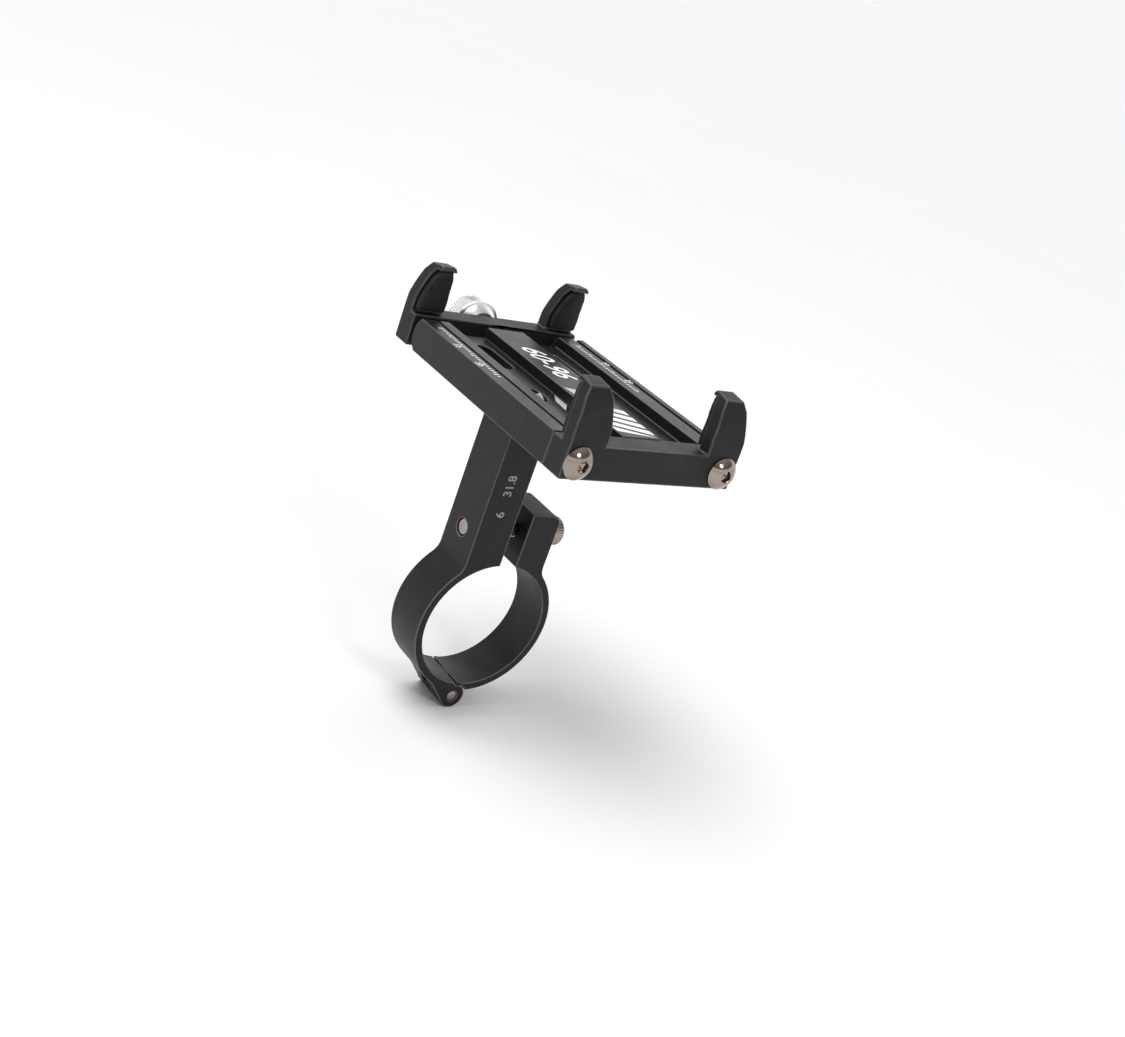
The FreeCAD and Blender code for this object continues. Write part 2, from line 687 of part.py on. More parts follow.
def make_pad(x0, x1, outer_y, inward):
    # Rubber pad that follows the inside of a claw, under its lip.
    def arc_point(radius, start, z):
        return Vec(x0, outer_y + inward * (start + claw_arc_offset(radius, z)), z)

    bottom_z = claw_root_z + pad_bottom_gap
    top_z = lip_bottom_z - pad_top_gap
    mid_z = (bottom_z + top_z) / 2
    root = claw_root_thickness
    face = root + pad_thickness
    edges = [
        arc(arc_point(claw_inner_radius, root, bottom_z), arc_point(claw_inner_radius, root, mid_z),
            arc_point(claw_inner_radius, root, top_z)),
        line(arc_point(claw_inner_radius, root, top_z), arc_point(claw_inner_radius, face, top_z)),
        arc(arc_point(claw_inner_radius, face, top_z), arc_point(claw_inner_radius, face, mid_z),
            arc_point(claw_inner_radius, face, bottom_z)),
        line(arc_point(claw_inner_radius, face, bottom_z), arc_point(claw_inner_radius, root, bottom_z)),
    ]
    band = Part.Face(Part.Wire(edges)).extrude(Vec(x1 - x0, 0, 0))
    outline = tapered_outline(x0, x1, bottom_z, pad_side_inset)
    return band.common(full_depth(outline, outer_y))


def make_fixed_jaw_screws():
    screws = []
    for x in rod_centers():
        shank = rod_y(jaw_screw_radius, jaw_screw_end_y, fixed_jaw_outer_y, x, rod_z)
        head = button_head(button_head_radius, button_head_height, button_socket_across,
                           button_socket_depth, Vec(x, fixed_jaw_outer_y, rod_z), Vec(0, 1, 0))
        screws.append(shank.fuse(head).removeSplitter())
    return Part.makeCompound(screws)


os.makedirs("parts", exist_ok=True)

save("riser_clamp_half", make_riser())
save("clamp_rear_half", make_clamp_rear_half())
save("hinge_pin", make_hinge_pin())
save("clamp_washer", make_clamp_washer())
save("clamp_screw", make_clamp_screw())
save("turn_washer", make_turn_washer())
save("wave_washer", make_wave_washer())
save("pivot_screw", make_pivot_screw())
save("tray_body", make_tray())
save("lead_nut", make_lead_nut())
save("lead_screw", make_lead_screw())
save("screw_clip", make_screw_clip())
save("knob_hub", make_knob_hub())
save("adjusting_knob", make_knob())
save("knob_grub_screw", make_knob_grub_screw())
save("fixed_jaw", make_fixed_jaw())
save("fixed_jaw_screws", make_fixed_jaw_screws())
save("moving_jaw", make_moving_jaw())

for name, x in zip(("front", "rear"), rod_centers()):
    save("guide_rod_" + name, make_guide_rod(x))

for name, (x0, x1) in zip(("front", "rear"), claw_spans(fixed_claw_width)):
    save("fixed_jaw_pad_" + name, make_pad(x0, x1, fixed_jaw_outer_y, -1))

for name, (x0, x1) in zip(("front", "rear"), claw_spans(moving_claw_width)):
    save("moving_jaw_pad_" + name, make_pad(x0, x1, moving_jaw_outer_y, 1))
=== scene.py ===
import bpy
import bmesh
import math
from mathutils import Matrix, Vector
from mathutils.geometry import intersect_point_line


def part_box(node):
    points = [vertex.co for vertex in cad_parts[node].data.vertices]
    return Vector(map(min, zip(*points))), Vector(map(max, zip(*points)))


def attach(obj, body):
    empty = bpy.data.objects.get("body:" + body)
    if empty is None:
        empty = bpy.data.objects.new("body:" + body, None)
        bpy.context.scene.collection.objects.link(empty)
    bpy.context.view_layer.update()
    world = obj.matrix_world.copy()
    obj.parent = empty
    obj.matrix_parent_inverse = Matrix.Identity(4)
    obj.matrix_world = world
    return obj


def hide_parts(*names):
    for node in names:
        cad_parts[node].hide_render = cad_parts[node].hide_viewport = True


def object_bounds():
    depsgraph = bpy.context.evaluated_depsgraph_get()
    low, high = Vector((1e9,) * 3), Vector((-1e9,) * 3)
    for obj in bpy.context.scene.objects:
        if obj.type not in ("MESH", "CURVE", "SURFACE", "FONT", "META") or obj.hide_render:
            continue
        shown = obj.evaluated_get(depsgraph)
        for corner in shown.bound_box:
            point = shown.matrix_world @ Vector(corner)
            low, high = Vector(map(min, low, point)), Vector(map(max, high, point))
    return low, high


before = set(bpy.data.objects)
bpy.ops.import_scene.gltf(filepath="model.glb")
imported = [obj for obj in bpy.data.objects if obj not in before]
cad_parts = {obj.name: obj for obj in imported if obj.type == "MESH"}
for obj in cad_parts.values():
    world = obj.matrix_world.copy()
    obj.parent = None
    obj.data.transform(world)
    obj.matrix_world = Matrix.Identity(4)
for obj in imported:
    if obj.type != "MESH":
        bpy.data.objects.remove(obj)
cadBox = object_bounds()
mm = 0.001
print("frame loaded,", len(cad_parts), "nodes")


def middleOf(node):
    low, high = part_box(node)
    return (low + high) / 2


# finishes

class Wave:
    # a socket that can be added, multiplied and so on

    def __init__(self, finish, socket):
        self.finish, self.socket = finish, socket

    def join(self, operation, first, second):
        made = self.finish.node("ShaderNodeMath", {"operation": operation}, {0: first, 1: second})
        return Wave(self.finish, made.outputs[0])

    def __add__(self, other):
        return self.join("ADD", self, other)

    def __radd__(self, other):
        return self.join("ADD", other, self)

    def __sub__(self, other):
        return self.join("SUBTRACT", self, other)

    def __rsub__(self, other):
        return self.join("SUBTRACT", other, self)

    def __mul__(self, other):
        return self.join("MULTIPLY", self, other)

    def __rmul__(self, other):
        return self.join("MULTIPLY", other, self)


class NodeMaker:
    # makes the nodes of one tree: settings first, then the values or links of the sockets

    def __init__(self, tree):
        self.tree = tree

    def node(self, kind, settings=None, sockets=None):
        made = self.tree.nodes.new(kind)
        for key, value in (settings or {}).items():
            if key == "stops":
                ramp = made.color_ramp
                while len(ramp.elements) < len(value):
                    ramp.elements.new(0.5)
                for stop, (at, tone) in zip(ramp.elements, value):
                    stop.position = at
                    stop.color = (tone, tone, tone, 1)
            else:
                setattr(made, key, value)
        for key, value in (sockets or {}).items():
            if isinstance(value, Wave):
                value = value.socket
            if isinstance(value, bpy.types.NodeSocket):
                self.tree.links.new(value, made.inputs[key])
            else:
                made.inputs[key].default_value = value
        return made


class Finish(NodeMaker):
    # a material made of waves, with the values that are the same all over set on its shader

    def __init__(self, name, **fixed):
        self.material = bpy.data.materials.new(name)
        self.material.use_nodes = True
        super().__init__(self.material.node_tree)
        self.shader = self.tree.nodes["Principled BSDF"]
        self.place = self.node("ShaderNodeTexCoord").outputs["Object"]
        for socket, value in fixed.items():
            self.shader.inputs[socket.replace("_", " ")].default_value = value

    def noise(self, scale, detail=3.0, roughness=0.55, stretch=(1, 1, 1), distortion=0.0):
        mapped = self.node("ShaderNodeMapping", {}, {"Vector": self.place, "Scale": stretch})
        made = self.node("ShaderNodeTexNoise", {"noise_dimensions": "3D"},
                         {"Vector": mapped.outputs[0], "Scale": scale, "Detail": detail,
                          "Roughness": roughness, "Distortion": distortion})
        return Wave(self, made.outputs["Fac"])

    def step(self, value, start, end):
        # 0 below start, 1 above end
        made = self.node("ShaderNodeValToRGB", {"stops": [(start, 0), (end, 1)]}, {"Fac": value})
        return Wave(self, made.outputs["Color"])

    def mix(self, factor, first, second):
        # a Mix node has its two colours at sockets 6 and 7, and its colour result third
        made = self.node("ShaderNodeMix", {"data_type": "RGBA"}, {0: factor, 6: first, 7: second})
        return made.outputs[2]

    def bump(self, height, depth, strength):
        made = self.node("ShaderNodeBump", {}, {"Height": height, "Distance": depth, "Strength": strength})
        return made.outputs[0]

    def use(self, socket, value):
        if isinstance(value, Wave):
            value = value.socket
        self.tree.links.new(value, self.shader.inputs[socket])


def grey(tone, warm=0.0):
    return (tone * (1 + warm), tone, tone * (1 - warm), 1)


# black anodising over fine bead blasting, with handling marks
blackSet = {"tone": 0.0072, "paleTone": 0.0135, "shine": 0.37, "grainSize": 5200, "grainDepth": 0.000012,
            "cloudSize": 150, "markSize": 60, "markTone": 0.035, "markShare": 0.16, "speckSize": 2300,
            "speckTone": 0.09, "speckShare": 0.3}


def blackAnodising(name, toneScale=1.0, shine=blackSet["shine"]):
    finish = Finish(name, IOR=1.5, Specular_IOR_Level=0.24, Specular_Tint=(1.0, 0.93, 0.99, 1))
    cloud = finish.noise(blackSet["cloudSize"], 4)
    marks = finish.step(finish.noise(blackSet["markSize"], 5, 0.65, distortion=1.2), 0.52, 0.68)
    grain = finish.noise(blackSet["grainSize"], 2, 0.6)
    specks = finish.step(finish.noise(blackSet["speckSize"], 1), 0.74, 0.8)
    tint = finish.mix(cloud, grey(blackSet["tone"] * toneScale, 0.05),
                      grey(blackSet["paleTone"] * toneScale, 0.04))
    tint = finish.mix(marks * blackSet["markShare"], tint, grey(blackSet["markTone"] * toneScale, 0.04))
    tint = finish.mix(specks * blackSet["speckShare"], tint, grey(blackSet["speckTone"], 0.02))
    finish.use("Base Color", tint)
    finish.use("Roughness", shine + (cloud - 0.5) * 0.10 - marks * 0.06 + (grain - 0.5) * 0.08)
    finish.use("Normal", finish.bump(grain, blackSet["grainDepth"], 0.55))
    return finish.material


# the same anodising on a machined corner, drawn several times lighter than the faces as a painted edge
# highlight, with real wear through to bare metal in patches
edgeHighlightAndWearSet = {"bareTone": 0.36, "patchSize": 130, "wearSize": 900, "grainSize": 4200, "grainDepth": 0.000006,
           "shine": 0.30}


def wornEdge(name, tone, wear):
    finish = Finish(name, IOR=1.5, Specular_IOR_Level=0.4)
    patch = finish.noise(edgeHighlightAndWearSet["patchSize"], 3, distortion=0.8)
    nick = finish.step(finish.noise(edgeHighlightAndWearSet["wearSize"], 4, 0.7) * 0.6 + patch * 0.4,
                       0.60 - 0.06 * wear, 0.70)
    # tone and tone * 2 are far lighter than the faces: painted edge highlight; the nicks below are real wear
    tint = finish.mix(patch, grey(tone), grey(tone * 2.0))
    finish.use("Base Color", finish.mix(nick * wear, tint, grey(edgeHighlightAndWearSet["bareTone"], 0.02)))
    finish.use("Metallic", nick * wear)
    finish.use("Roughness", edgeHighlightAndWearSet["shine"] + patch * 0.12)
    finish.use("Normal", finish.bump(finish.noise(edgeHighlightAndWearSet["grainSize"], 2), edgeHighlightAndWearSet["grainDepth"], 0.5))
    return finish.material


# turned and polished stainless steel
steelSet = {"tone": (0.41, 0.35, 0.315, 1), "darkTone": (0.25, 0.205, 0.18, 1), "shine": 0.10,
            "lineSize": 1500, "lineDepth": 0.000004, "cloudSize": 320, "smudgeSize": 210}


def polishedSteel(name, stretch=(1, 1, 1), shine=steelSet["shine"], tone=steelSet["tone"],
                  darkTone=steelSet["darkTone"]):
    finish = Finish(name, Metallic=1.0)
    lines = finish.noise(steelSet["lineSize"], 3, 0.6, stretch)
    cloud = finish.noise(steelSet["cloudSize"], 3)
    smudge = finish.step(finish.noise(steelSet["smudgeSize"], 5, 0.7, distortion=1.5), 0.5, 0.72)
    finish.use("Base Color", finish.mix(cloud * 0.7 + lines * 0.3, tone, darkTone))
    finish.use("Roughness", shine + lines * 0.07 + smudge * 0.08)
    finish.use("Normal", finish.bump(lines, steelSet["lineDepth"], 0.35))
    return finish.material


# the bright turned knob, with a little grime in scattered patches
aluminiumSet = {"tone": 0.92, "dullTone": 0.78, "grimeTone": 0.34, "grimeShare": 0.18, "shine": 0.22,
                "lineSize": 1600, "lineDepth": 0.000008, "cloudSize": 260, "grimeSize": 900}


def brightAluminium(name):
    finish = Finish(name, Metallic=1.0)
    lines = finish.noise(aluminiumSet["lineSize"], 3, 0.6, (1, 6, 1))
    cloud = finish.noise(aluminiumSet["cloudSize"], 4)
    grime = finish.step(finish.noise(aluminiumSet["grimeSize"], 4, 0.7), 0.56, 0.74)
    tint = finish.mix(cloud, grey(aluminiumSet["tone"]), grey(aluminiumSet["dullTone"], 0.012))
    tint = finish.mix(grime * aluminiumSet["grimeShare"], tint, grey(aluminiumSet["grimeTone"], 0.03))
    finish.use("Base Color", tint)
    finish.use("Roughness", aluminiumSet["shine"] + lines * 0.12 + grime * 0.12)
    finish.use("Normal", finish.bump(lines, aluminiumSet["lineDepth"], 0.5))
    return finish.material


# moulded rubber with a fine skin and a little dust
rubberSet = {"tone": 0.011, "dustTone": 0.06, "dustShare": 0.28, "dustSize": 1300, "cloudSize": 240,
             "skinSize": 3400, "skinDepth": 0.00003, "shine": 0.66}


def mouldedRubber(name):
    finish = Finish(name, IOR=1.48, Specular_IOR_Level=0.28)
    skin = finish.noise(rubberSet["skinSize"], 3, 0.6)
    cloud = finish.noise(rubberSet["cloudSize"], 4)
    dust = finish.step(finish.noise(rubberSet["dustSize"], 5, 0.7) * 0.6 + cloud * 0.4, 0.54, 0.70)
    tint = finish.mix(cloud, grey(rubberSet["tone"]), grey(rubberSet["tone"] * 1.7, 0.02))
    tint = finish.mix(dust * rubberSet["dustShare"], tint, grey(rubberSet["dustTone"], 0.04))
    finish.use("Base Color", tint)
    finish.use("Roughness", rubberSet["shine"] + cloud * 0.12 + dust * 0.08)
    finish.use("Normal", finish.bump(skin, rubberSet["skinDepth"], 0.6))
    return finish.material


# black steel and brass
plainSet = {"cloudSize": 420, "lineSize": 2200, "lineDepth": 0.000006}


def plainMetal(name, tone, paleTone, shine, metallic):
    finish = Finish(name, Metallic=metallic)
    cloud = finish.noise(plainSet["cloudSize"], 4)
    lines = finish.noise(plainSet["lineSize"], 3, 0.6, (1, 1, 4))
    finish.use("Base Color", finish.mix(cloud, tone, paleTone))
    finish.use("Roughness", shine + cloud * 0.1 + lines * 0.06)
    finish.use("Normal", finish.bump(lines, plainSet["lineDepth"], 0.5))
    return finish.material


# the dark nylon of the turning washer
nylonSet = {"tone": 0.03, "paleTone": 0.055, "shine": 0.45, "cloudSize": 500, "skinSize": 3000,
            "skinDepth": 0.00001}


def nylonFinish(name):
    finish = Finish(name, IOR=1.53)
    cloud = finish.noise(nylonSet["cloudSize"], 3)
    finish.use("Base Color", finish.mix(cloud, grey(nylonSet["tone"]), grey(nylonSet["paleTone"], 0.02)))
    finish.use("Roughness", nylonSet["shine"] + cloud * 0.15)
    finish.use("Normal", finish.bump(finish.noise(nylonSet["skinSize"], 2), nylonSet["skinDepth"], 0.5))
    return finish.material


# printed ink, a little thin in places
inkSet = {"coverSize": 2600, "coverDepth": 0.000004, "cloudSize": 300, "shine": 0.48}


def printInk(name, tone, thinTone, thin=0.25):
    finish = Finish(name, IOR=1.45)
    cover = finish.step(finish.noise(inkSet["coverSize"], 4, 0.7), 0.36, 0.5)
    cloud = finish.noise(inkSet["cloudSize"], 3)
    full = finish.mix(cloud, grey(tone), grey(tone * 0.86))
    finish.use("Base Color", finish.mix((1 - cover) * thin, full, grey(thinTone)))
    finish.use("Roughness", inkSet["shine"] + cloud * 0.12)
    finish.use("Normal", finish.bump(cover, inkSet["coverDepth"], 0.5))
    return finish.material


# the studio floor, painted and a little uneven
floorSet = {"tone": 0.78, "paleTone": 0.81, "shine": 0.75, "cloudSize": 9, "smearSize": 60, "halfWidth": 30.0}


def paleFloor(name):
    finish = Finish(name)
    cloud = finish.noise(floorSet["cloudSize"], 4)
    finish.use("Base Color", finish.mix(cloud, grey(floorSet["tone"]), grey(floorSet["paleTone"])))
    finish.use("Roughness", floorSet["shine"] + finish.noise(floorSet["smearSize"], 3) * 0.1)
    return finish.material


finishes = {
    "tray": blackAnodising("trayBlack"),
    "jaw": blackAnodising("jawBlack", 0.95, 0.50),
    "riser": blackAnodising("riserBlack", 0.8, 0.44),
    # painted edge highlights for the rounded corners, with some real wear
    "edge": wornEdge("paintedEdgeHighlightAndWear", 0.050, 0.5),
    "jawEdgeHighlightAndWear": wornEdge("jawEdgeHighlightAndWear", 0.026, 0.25),
    "steel": polishedSteel("polishedSteel"),
    "rod": polishedSteel("groundRod", (1, 8, 1), 0.2),
    "thread": polishedSteel("rolledThread", (1, 1, 1), 0.26, (0.42, 0.40, 0.385, 1),
                            (0.26, 0.245, 0.235, 1)),
    "knob": brightAluminium("brightAluminium"),
    "rubber": mouldedRubber("mouldedRubber"),
    "blackSteel": plainMetal("blackSteel", grey(0.02), grey(0.035), 0.36, 0.3),
    "brass": plainMetal("brass", (0.66, 0.47, 0.2, 1), (0.78, 0.6, 0.3, 1), 0.26, 1.0),
    "nylon": nylonFinish("nylon"),
    "whiteInk": printInk("whiteInk", 0.86, 0.3),
    "greyInk": printInk("greyInk", 0.30, 0.06, 0.4),
    # white print drawn grey: painted shadow of the near claw
    "whiteInkPaintedShadow": printInk("whiteInkPaintedShadow", 0.52, 0.15, 0.3),
    "fineInk": printInk("fineInk", 0.84, 0.2, 0.4),
    "floor": paleFloor("paleFloor"),
}
print("finishes ready")


# modelling helpers

def finishPiece(mesh, name, body, materials, replaces=(), smoothAngle=32):
    # shades the mesh, makes it an object and lets it ride on its body
    for face in mesh.faces:
        face.smooth = True
    for edge in mesh.edges:
        if len(edge.link_faces) == 2:
            edge.smooth = edge.calc_face_angle(0) < math.radians(smoothAngle)
    data = bpy.data.meshes.new(name)
    mesh.to_mesh(data)
    mesh.free()
    for key in materials:
        data.materials.append(finishes[key])
    piece = bpy.data.objects.new(name, data)
    bpy.context.scene.collection.objects.link(piece)
    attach(piece, body)
    if replaces:
        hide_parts(*replaces)
    return piece


def moveMesh(mesh, axis, place, turn=0.0):
    # turns a mesh made along +Z onto axis and puts it in its place
    onto = Vector(axis).to_track_quat("Z", "Y").to_matrix().to_4x4()
    spun = Matrix.Rotation(math.radians(turn), 4, "Z")
    bmesh.ops.transform(mesh, matrix=Matrix.Translation(place) @ onto @ spun, verts=mesh.verts)


def cleanUp(mesh, reach=1e-7):
    bmesh.ops.remove_doubles(mesh, verts=mesh.verts, dist=reach)
    bmesh.ops.recalc_face_normals(mesh, faces=mesh.faces)


def turned(profile, steps=96):
    # spins (radius, height) points about Z
    mesh = bmesh.new()
    points = [mesh.verts.new((radius, 0, height)) for radius, height in profile]
    edges = [mesh.edges.new(pair) for pair in zip(points, points[1:])]
    bmesh.ops.spin(mesh, geom=points + edges, cent=(0, 0, 0), axis=(0, 0, 1), angle=2 * math.pi,
                   steps=steps, use_merge=True)
    cleanUp(mesh)
    return mesh


def addMesh(target, extra):
    # copies one bmesh into another
    data = bpy.data.meshes.new("part")
    extra.to_mesh(data)
    extra.free()
    target.from_mesh(data)
    bpy.data.meshes.remove(data)


def machinedCopy(node):
    # the CAD shape as clean faces, so that its corners can be rounded
    mesh = bmesh.new()
    mesh.from_mesh(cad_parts[node].data)
    bmesh.ops.remove_doubles(mesh, verts=mesh.verts, dist=2e-6)
    bmesh.ops.dissolve_limit(mesh, angle_limit=math.radians(0.6), verts=mesh.verts, edges=mesh.edges,
                             use_dissolve_boundaries=False)
    bmesh.ops.dissolve_degenerate(mesh, edges=mesh.edges, dist=1e-6)
    return mesh


def keepFlat(piece):
    # large faces keep their own direction, and the rounded corners blend into them
    flats = piece.modifiers.new("flats", "WEIGHTED_NORMAL")
    flats.mode = "FACE_AREA"
    flats.weight = 100
    flats.keep_sharp = False


def machinedPiece(node, body, materials, radius, segments=3, angle=32):
    mesh = machinedCopy(node)
    piece = finishPiece(mesh, "round_" + node, body, materials, (node,), 180)
    corners = piece.modifiers.new("corners", "BEVEL")
    corners.width = radius
    corners.segments = segments
    corners.limit_method = "ANGLE"
    corners.angle_limit = math.radians(angle)
    corners.use_clamp_overlap = False
    # the rounded corners take the second finish, a painted edge highlight with some wear
    corners.material = 1 if len(materials) > 1 else -1
    keepFlat(piece)
    return piece


# black machined parts

# each part's second finish is the painted edge highlight, with some wear, for its rounded corners
machinedSet = {
    "tray_body": ("tray", ("tray", "edge"), 0.22 * mm),
    "fixed_jaw": ("tray", ("jaw", "jawEdgeHighlightAndWear"), 0.38 * mm),
    "moving_jaw": ("sliding_jaw", ("jaw", "jawEdgeHighlightAndWear"), 0.38 * mm),
    "riser_clamp_half": ("clamp_base", ("riser", "edge"), 0.25 * mm),
    "clamp_rear_half": ("clamp_rear", ("riser", "edge"), 0.25 * mm),
}
for node, (body, materials, radius) in machinedSet.items():
    machinedPiece(node, body, materials, radius, 3, 20)
machinedPiece("knob_hub", "knob_and_screw", ("blackSteel",), 0.15 * mm)
machinedPiece("clamp_washer", "clamp_washer_body", ("steel",), 0.12 * mm, 2)
machinedPiece("lead_nut", "tray", ("brass",), 0.1 * mm, 2)
machinedPiece("screw_clip", "knob_and_screw", ("blackSteel",), 0.08 * mm, 2)
machinedPiece("turn_washer", "clamp_base", ("nylon",), 0.06 * mm, 2)
print("machined parts ready")


# screws

def hexRadius(across, angle):
    # distance from the centre to the side of a hexagon, in the direction of angle
    within = (math.degrees(angle) % 60) - 30
    return across / 2 / math.cos(math.radians(within))


def socketHead(profile, across, depth, lip, steps=96):
    # a turned head, open at the top, with a hexagon socket sunk in its mouth
    mesh = turned(profile, steps)
    mouthHeight = profile[-1][1]
    rim = [edge for edge in mesh.edges if edge.is_boundary
           and all(abs(v.co.z - mouthHeight) < 1e-6 and v.co.xy.length > across / 4 for v in edge.verts)]
    levels = [(0.0, lip), (-lip, 0.0), (-depth, 0.0)]
    for drop, wider in levels:
        grown = bmesh.ops.extrude_edge_only(mesh, edges=rim)["geom"]
        rim = [item for item in grown if isinstance(item, bmesh.types.BMEdge)]
        for vert in [item for item in grown if isinstance(item, bmesh.types.BMVert)]:
            angle = math.atan2(vert.co.y, vert.co.x)
            reach = hexRadius(across, angle) + wider
            vert.co = Vector((reach * math.cos(angle), reach * math.sin(angle), mouthHeight + drop))
    # drilled point at the bottom of the socket
    bottom = bmesh.ops.extrude_edge_only(mesh, edges=rim)["geom"]
    for vert in [item for item in bottom if isinstance(item, bmesh.types.BMVert)]:
        vert.co = Vector((0, 0, mouthHeight - depth - 0.25 * across))
    cleanUp(mesh)
    return mesh


def domeProfile(radius, height, rim, flat, points=14):
    # underside, rounded rim, dome and the flat round the socket
    rise = height - rim
    ball = (radius ** 2 + rise ** 2) / (2 * rise)
    profile = [(0.0, 0.0), (radius - 0.12 * mm, 0.0), (radius - 0.02 * mm, 0.06 * mm), (radius, 0.2 * mm)]
    startAngle = math.asin(radius / ball)
    endAngle = math.asin(flat / ball)
    for i in range(points + 1):
        angle = startAngle + (endAngle - startAngle) * i / points
        profile.append((ball * math.sin(angle), height - ball + ball * math.cos(angle)))
    return profile


def threadedRod(radius, depth, pitch, length, steps=20):
    # a helical ridge about Z, cut square at both ends
    core = radius - depth
    turns = math.ceil(length / pitch) + 2
    # one turn of the thread: (radius, share of the pitch)
    shape = [(core, 0.0), (core, 0.14), (radius, 0.44), (radius, 0.56), (core, 0.86), (core, 1.0)]
    mesh = bmesh.new()
    points = [mesh.verts.new((r, 0, (part - 1) * pitch)) for r, part in shape]
    edges = [mesh.edges.new(pair) for pair in zip(points, points[1:])]
    bmesh.ops.spin(mesh, geom=points + edges, cent=(0, 0, 0), axis=(0, 0, 1), dvec=(0, 0, pitch / steps),
                   angle=2 * math.pi * turns, steps=turns * steps)
    bmesh.ops.remove_doubles(mesh, verts=mesh.verts, dist=2e-7)
    for height, keep in ((0.0, -1), (length, 1)):
        cut = bmesh.ops.bisect_plane(mesh, geom=mesh.verts[:] + mesh.edges[:] + mesh.faces[:], dist=1e-8,
                                     plane_co=(0, 0, height), plane_no=(0, 0, keep), clear_outer=True)
        rim = [item for item in cut["geom_cut"] if isinstance(item, bmesh.types.BMEdge)]
        bmesh.ops.holes_fill(mesh, edges=rim, sides=0)
    cleanUp(mesh, 1e-8)
    return mesh


# the thread that the jaw, pivot and clamp screws share, in the order that threadedRod takes it
threadSet = {"radius": 2.0 * mm, "depth": 0.35 * mm, "pitch": 0.7 * mm}

# the two button heads on the fixed jaw
headSet = {"radius": 3.8 * mm, "height": 2.3 * mm, "rim": 0.35 * mm, "flat": 1.72 * mm,
           "across": 2.5 * mm, "depth": 1.3 * mm, "lip": 0.1 * mm, "frontTurn": 12, "rearTurn": 41}
screwLow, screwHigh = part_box("fixed_jaw_screws")
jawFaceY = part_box("fixed_jaw")[1].y
screwMiddleZ = middleOf("fixed_jaw_screws").z
heads = bmesh.new()
for x, turn in ((screwHigh.x - headSet["radius"], headSet["frontTurn"]),
                (screwLow.x + headSet["radius"], headSet["rearTurn"])):
    head = socketHead(domeProfile(headSet["radius"], headSet["height"], headSet["rim"], headSet["flat"]),
                      headSet["across"], headSet["depth"], headSet["lip"])
    moveMesh(head, (0, 1, 0), Vector((x, jawFaceY, screwMiddleZ)), turn)
    addMesh(heads, head)
    shank = threadedRod(*threadSet.values(), jawFaceY - screwLow.y)
    moveMesh(shank, (0, 1, 0), Vector((x, screwLow.y, screwMiddleZ)))
    addMesh(heads, shank)
finishPiece(heads, "jaw_button_screws", "tray", ("steel",), ("fixed_jaw_screws",))

# the pivot screw in the tray's front channel
pivotSet = {"headRadius": 3.5 * mm, "rim": 0.35 * mm, "flat": 1.7 * mm, "across": 2.5 * mm,
            "depth": 1.25 * mm, "lip": 0.1 * mm, "turn": 20}
pivotLow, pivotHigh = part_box("pivot_screw")
pivotX = middleOf("pivot_screw").x
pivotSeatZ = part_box("wave_washer")[1].z
pivotProfile = domeProfile(pivotSet["headRadius"], pivotHigh.z - pivotSeatZ, pivotSet["rim"],
                           pivotSet["flat"])
pivot = socketHead(pivotProfile, pivotSet["across"], pivotSet["depth"], pivotSet["lip"])
moveMesh(pivot, (0, 0, 1), Vector((pivotX, 0, pivotSeatZ)), pivotSet["turn"])
shank = threadedRod(*threadSet.values(), pivotSeatZ - pivotLow.z)
moveMesh(shank, (0, 0, 1), Vector((pivotX, 0, pivotLow.z)))
addMesh(pivot, shank)
finishPiece(pivot, "tray_pivot_screw", "clamp_base", ("steel",), ("pivot_screw",))

# the wave washer under it
waveSet = {"thickness": 0.3 * mm, "waves": 3, "inner": 2.2 * mm}
waveLow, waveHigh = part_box("wave_washer")
lift = (waveHigh.z - waveLow.z - waveSet["thickness"]) / 2
outer, inner, thickness = pivotSet["headRadius"], waveSet["inner"], waveSet["thickness"]
washer = turned([(inner, 0), (outer, 0), (outer, thickness), (inner, thickness), (inner, 0)])
for vert in washer.verts:
    vert.co.z += lift * (1 + math.sin(waveSet["waves"] * math.atan2(vert.co.y, vert.co.x)))
moveMesh(washer, (0, 0, 1), Vector((middleOf("wave_washer").x, 0, waveLow.z)))
finishPiece(washer, "spring_wave_washer", "clamp_base", ("steel",), ("wave_washer",))

# the clamp's socket cap screw, with a knurled head at the back and its tip in the riser
capSet = {"headRadius": 3.5 * mm, "headHeight": 4.0 * mm, "across": 3.0 * mm, "depth": 2.2 * mm,
          "lip": 0.12 * mm, "mouth": 1.95 * mm, "knurls": 36, "knurlDepth": 0.14 * mm, "turn": 15,
          "tip": 0.3 * mm}
capLow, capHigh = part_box("clamp_screw")
capZ = middleOf("clamp_screw").z
r, h = capSet["headRadius"], capSet["headHeight"]
capProfile = [(0, 0), (r - 0.15 * mm, 0), (r, 0.15 * mm), (r, 0.6 * mm), (r, 3.3 * mm),
              (r - 0.05 * mm, 3.45 * mm), (r - 0.4 * mm, h), (capSet["mouth"], h)]
cap = socketHead(capProfile, capSet["across"], capSet["depth"], capSet["lip"], capSet["knurls"] * 4)
for vert in cap.verts:
    if 0.5 * mm < vert.co.z < 3.4 * mm and vert.co.xy.length > r - 0.01 * mm:
        part = (math.atan2(vert.co.y, vert.co.x) * capSet["knurls"] / (2 * math.pi)) % 1
        vert.co.xy *= 1 - capSet["knurlDepth"] / r * (1 - abs(2 * part - 1))
moveMesh(cap, (-1, 0, 0), Vector((capLow.x + h, 0, capZ)), capSet["turn"])
core, tip = threadSet["radius"] - threadSet["depth"], capSet["tip"]
tipRound = turned([(0, 0), (core, 0), (core + 0.05 * mm, tip), (0, tip)], 48)
